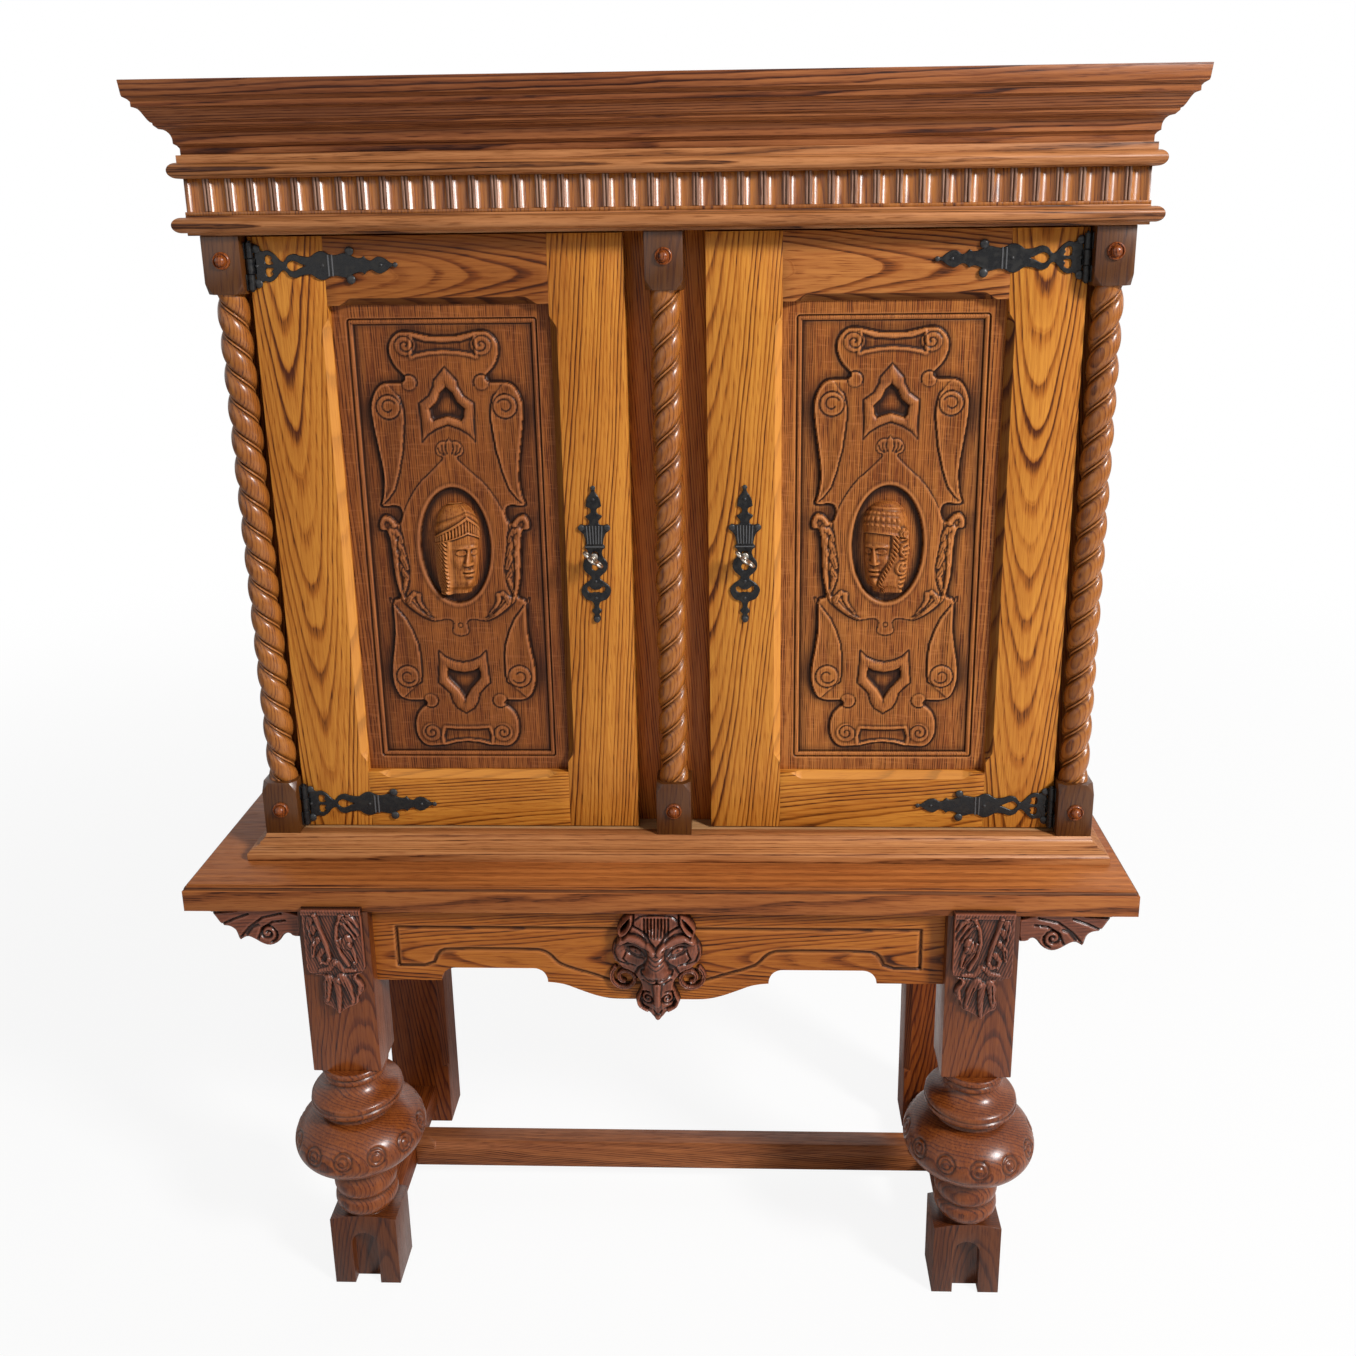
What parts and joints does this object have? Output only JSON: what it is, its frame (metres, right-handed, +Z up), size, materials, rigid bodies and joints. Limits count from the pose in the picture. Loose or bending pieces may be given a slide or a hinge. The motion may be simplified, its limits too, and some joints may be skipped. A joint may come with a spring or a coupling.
{
  "type": "china cabinet",
  "caption": "Carved oak cupboard with double doors, rope-twist columns and a deep moulded cornice, on a stand with bulb-turned legs, shaped apron and stretchers; doors, keys and bolts move.",
  "frame": {"origin": "bottom centre of the whole object's outline, on the floor", "axes": "+Z up, the front with its doors faces -Y, +X to the right seen from the front; the stand's centre line is at X = -0.0065 and the cupboard's at X = 0.0135"},
  "size_m": [1.183, 0.4369, 1.534],
  "materials": {
    "oak_golden": "waxed oak with strong open grain",
    "oak_dark": "dark stained and polished oak",
    "oak_carved": "mid-brown stained oak, worn lighter on the high parts",
    "oak_red": "reddish stained and polished oak",
    "oak_inner": "plain oiled oak",
    "black_iron": "black wrought iron, slightly worn",
    "old_silver": "antique silvered metal, dark in the hollows",
    "lock_steel": "plain dull steel"
  },
  "bodies": {
    "case": {"table_top": "oak_red", "front_apron": "oak_golden", "rear_rail": "oak_golden", "side_rail_left": "oak_golden", "side_rail_right": "oak_golden", "side_bracket_left": "oak_dark", "side_bracket_right": "oak_dark", "leg_front_left": "oak_dark", "leg_front_right": "oak_dark", "leg_carving_left": "oak_dark", "leg_carving_right": "oak_dark", "rear_post_left": "oak_dark", "rear_post_right": "oak_dark", "runner_left": "oak_dark", "runner_right": "oak_dark", "cross_stretcher": "oak_dark", "apron_mask": "oak_dark", "plinth_moulding": "oak_dark", "case_bottom": "oak_inner", "case_side_left": "oak_golden", "case_side_right": "oak_golden", "case_top": "oak_inner", "case_back": "oak_inner", "corner_post_left": "oak_golden", "corner_post_right": "oak_golden", "centre_stile": "oak_golden", "partition": "oak_inner", "column_left": "oak_dark", "column_centre": "oak_dark", "column_right": "oak_dark", "column_bosses": "oak_dark", "shelf_left": "oak_inner", "shelf_right": "oak_inner", "shelf_pins": "oak_inner", "lower_bead": "oak_dark", "frieze": "oak_dark", "upper_bead": "oak_dark", "crown_moulding": "oak_dark", "dust_board": "oak_inner", "hinge_pins": "black_iron"},
    "door_left": {"door_left_outer_stile": "oak_golden", "door_left_inner_stile": "oak_golden", "door_left_top_rail": "oak_golden", "door_left_bottom_rail": "oak_golden", "door_left_panel": "oak_carved", "door_left_straps": "black_iron", "door_left_escutcheon": "black_iron", "door_left_lock": "lock_steel"},
    "door_right": {"door_right_outer_stile": "oak_golden", "door_right_inner_stile": "oak_golden", "door_right_top_rail": "oak_golden", "door_right_bottom_rail": "oak_golden", "door_right_panel": "oak_carved", "door_right_straps": "black_iron", "door_right_escutcheon": "black_iron", "door_right_lock": "lock_steel"},
    "bolt_left": {"door_left_bolt": "lock_steel"},
    "key_left": {"door_left_key": "old_silver"},
    "bolt_right": {"door_right_bolt": "lock_steel"},
    "key_right": {"door_right_key": "old_silver"}
  },
  "joints": [
    {"name": "door_left_hinge", "type": "hinge", "parent": "case", "child": "door_left", "pos_m": [-0.4635, -0.0665, 0.998], "axis": [0, 0, -1], "range_deg": [0, 95]},
    {"name": "key_left_turn", "type": "hinge", "parent": "door_left", "child": "key_left", "pos_m": [-0.0775, -0.0505, 0.99], "axis": [0, -1, 0], "range_deg": [0, 90]},
    {"name": "bolt_left_slide", "type": "slide", "parent": "door_left", "child": "bolt_left", "axis": [1, 0, 0], "range_m": [0, 0.012]},
    {"name": "door_right_hinge", "type": "hinge", "parent": "case", "child": "door_right", "pos_m": [0.4905, -0.0665, 0.998], "axis": [0, 0, 1], "range_deg": [0, 95]},
    {"name": "key_right_turn", "type": "hinge", "parent": "door_right", "child": "key_right", "pos_m": [0.1045, -0.0505, 0.99], "axis": [0, 1, 0], "range_deg": [0, 90]},
    {"name": "bolt_right_slide", "type": "slide", "parent": "door_right", "child": "bolt_right", "axis": [-1, 0, 0], "range_m": [0, 0.012]}
  ],
  "couplings": [
    {"joint": "key_left_turn", "follows": "bolt_left_slide", "rad_per_m": 130.9},
    {"joint": "key_right_turn", "follows": "bolt_right_slide", "rad_per_m": 130.9}
  ]
}
